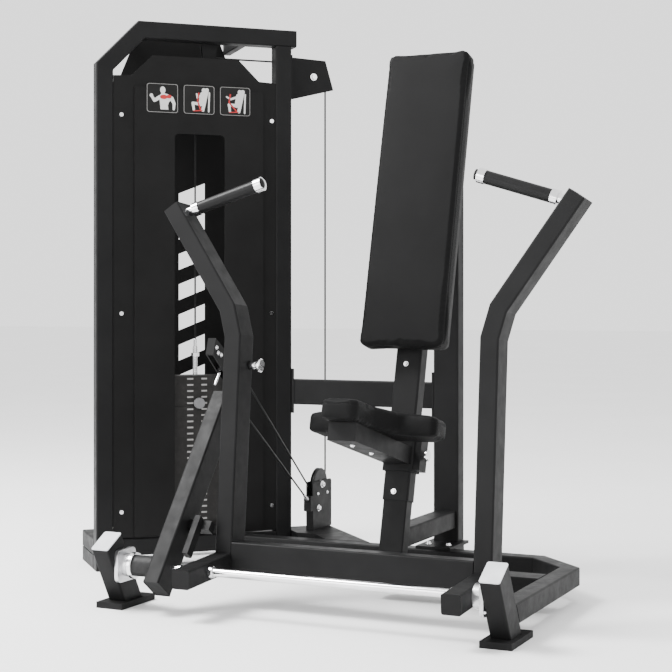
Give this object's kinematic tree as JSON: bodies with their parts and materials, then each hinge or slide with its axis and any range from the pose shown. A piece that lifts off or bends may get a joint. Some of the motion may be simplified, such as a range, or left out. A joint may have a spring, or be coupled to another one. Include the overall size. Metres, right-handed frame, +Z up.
{
  "type": "chest press machine",
  "caption": "Selectorized seated chest press: weight tower set at 45 degrees, swinging press arm with lever, leaning back pad, height-adjustable seat and a welded tube base.",
  "frame": {"origin": "centre of the machine's footprint on the floor", "axes": "+Z up, the user faces -Y, +X is to the user's left hand, the weight tower stands at -X"},
  "size_m": [1.6786, 1.0802, 1.62],
  "materials": {
    "frame_paint": "matte charcoal powder coat",
    "sheet_paint": "matte black powder coat on sheet steel",
    "pad_vinyl": "near-black grained vinyl",
    "board_wood": "plywood painted black",
    "grip_rubber": "satin black rubber",
    "chrome": "polished chrome",
    "bearing_steel": "bright zinc plate",
    "hub_iron": "dark machined iron",
    "pulley_plastic": "moulded black nylon",
    "stack_iron": "black painted cast iron",
    "foot_rubber": "matte black rubber",
    "cap_plastic": "light grey end cap",
    "card_plastic": "printed black panel",
    "pin_plastic": "grey knob",
    "cable_jacket": "black jacketed steel cable"
  },
  "bodies": {
    "root": {"back_board": "board_wood", "back_pad": "pad_vinyl", "base_pulley_bracket": "frame_paint", "corner_tube": "frame_paint", "cross_tube": "frame_paint", "crossing_cable": "cable_jacket", "exercise_cards": "card_plastic", "foot_plates": "foot_rubber", "foot_post_caps": "cap_plastic", "foot_posts": "frame_paint", "front_shroud": "sheet_paint", "guide_rods": "chrome", "lever_cable": "cable_jacket", "pivot_bearings": "bearing_steel", "post_foot_tube": "frame_paint", "pulley_beam": "frame_paint", "rear_shroud": "sheet_paint", "rear_tube": "frame_paint", "rear_upright": "frame_paint", "resting_plates": "stack_iron", "rubber_bumpers": "foot_rubber", "seat_post": "frame_paint", "shroud_screws": "chrome", "side_pulley_bracket": "frame_paint", "side_tube": "frame_paint", "spine_beam": "frame_paint", "stabiliser_beam": "frame_paint", "stack_cable": "cable_jacket", "top_pulley_bracket": "frame_paint", "top_strut": "frame_paint", "tower_inner_bars": "frame_paint", "tower_left_post": "frame_paint", "tower_rails": "frame_paint", "tower_right_post": "frame_paint", "tower_top_beam": "frame_paint", "upright_foot": "frame_paint"},
    "press_arm": {"pivot_shaft": "chrome", "hub_sleeve": "hub_iron", "lever_tube": "frame_paint", "lever_pulley_block": "frame_paint", "lever_tie_rod": "chrome", "left_arm": "frame_paint", "right_arm": "frame_paint", "cross_beam": "frame_paint", "arm_shoes": "frame_paint", "handle_bars": "chrome", "handle_grips": "grip_rubber", "link_bar": "frame_paint", "lever_cable_bend": "cable_jacket"},
    "weight_stack": {"lifted_plates": "stack_iron", "selector_rod": "chrome"},
    "selector_pin": {"selector_pin": "pin_plastic"},
    "top_pulley": {"top_pulley": "pulley_plastic"},
    "side_pulley": {"side_pulley": "pulley_plastic"},
    "base_pulley": {"base_pulley": "pulley_plastic"},
    "lever_pulley": {"lever_pulley": "pulley_plastic"},
    "seat_carriage": {"seat_carriage": "frame_paint", "seat_pad": "pad_vinyl"},
    "seat_pull_pin": {"seat_pull_pin": "chrome"},
    "arm_pull_pin": {"arm_pull_pin": "chrome"}
  },
  "joints": [
    {"name": "press_swing", "type": "hinge", "parent": "root", "child": "press_arm", "pos_m": [0.25953, -0.43896, 0.112], "axis": [1, 0, 0], "range_deg": [0, 32]},
    {"name": "stack_lift", "type": "slide", "parent": "root", "child": "weight_stack", "axis": [0, 0, 1], "range_m": [0, 0.641], "deforming": ["stack_cable"]},
    {"name": "pin_pull", "type": "slide", "parent": "weight_stack", "child": "selector_pin", "axis": [0.7071, -0.7071, 0], "range_m": [0, 0.09]},
    {"name": "top_pulley_spin", "type": "hinge", "parent": "root", "child": "top_pulley", "pos_m": [-0.46669, 0.24098, 1.488], "axis": [-0.7071, 0.7071, 0], "range_deg": [0, 879]},
    {"name": "side_pulley_spin", "type": "hinge", "parent": "root", "child": "side_pulley", "pos_m": [-0.23117, 0.4765, 1.488], "axis": [-0.7071, 0.7071, 0], "range_deg": [0, 879]},
    {"name": "base_pulley_spin", "type": "hinge", "parent": "root", "child": "base_pulley", "pos_m": [-0.20147, 0.4602, 0.226], "axis": [1, 0, 0], "range_deg": [-804, 0]},
    {"name": "lever_pulley_spin", "type": "hinge", "parent": "press_arm", "child": "lever_pulley", "pos_m": [-0.20147, -0.08396, 0.578], "axis": [1, 0, 0], "range_deg": [0, 445]},
    {"name": "seat_height", "type": "slide", "parent": "root", "child": "seat_carriage", "axis": [0, 0.2487, 0.9686], "range_m": [-0.04, 0.09]},
    {"name": "seat_pin_pull", "type": "slide", "parent": "seat_carriage", "child": "seat_pull_pin", "axis": [1, 0, 0], "range_m": [0, 0.012], "stiffness_N_per_m": 600},
    {"name": "arm_pin_pull", "type": "slide", "parent": "press_arm", "child": "arm_pull_pin", "axis": [1, 0, 0], "range_m": [0, 0.01], "stiffness_N_per_m": 600}
  ],
  "couplings": [
    {"joint": "stack_lift", "follows": "press_swing", "m_per_rad": 1.141},
    {"joint": "top_pulley_spin", "follows": "press_swing", "ratio": 27.167},
    {"joint": "side_pulley_spin", "follows": "press_swing", "ratio": 27.167},
    {"joint": "base_pulley_spin", "follows": "press_swing", "ratio": -24.804},
    {"joint": "lever_pulley_spin", "follows": "press_swing", "ratio": 13.583}
  ]
}
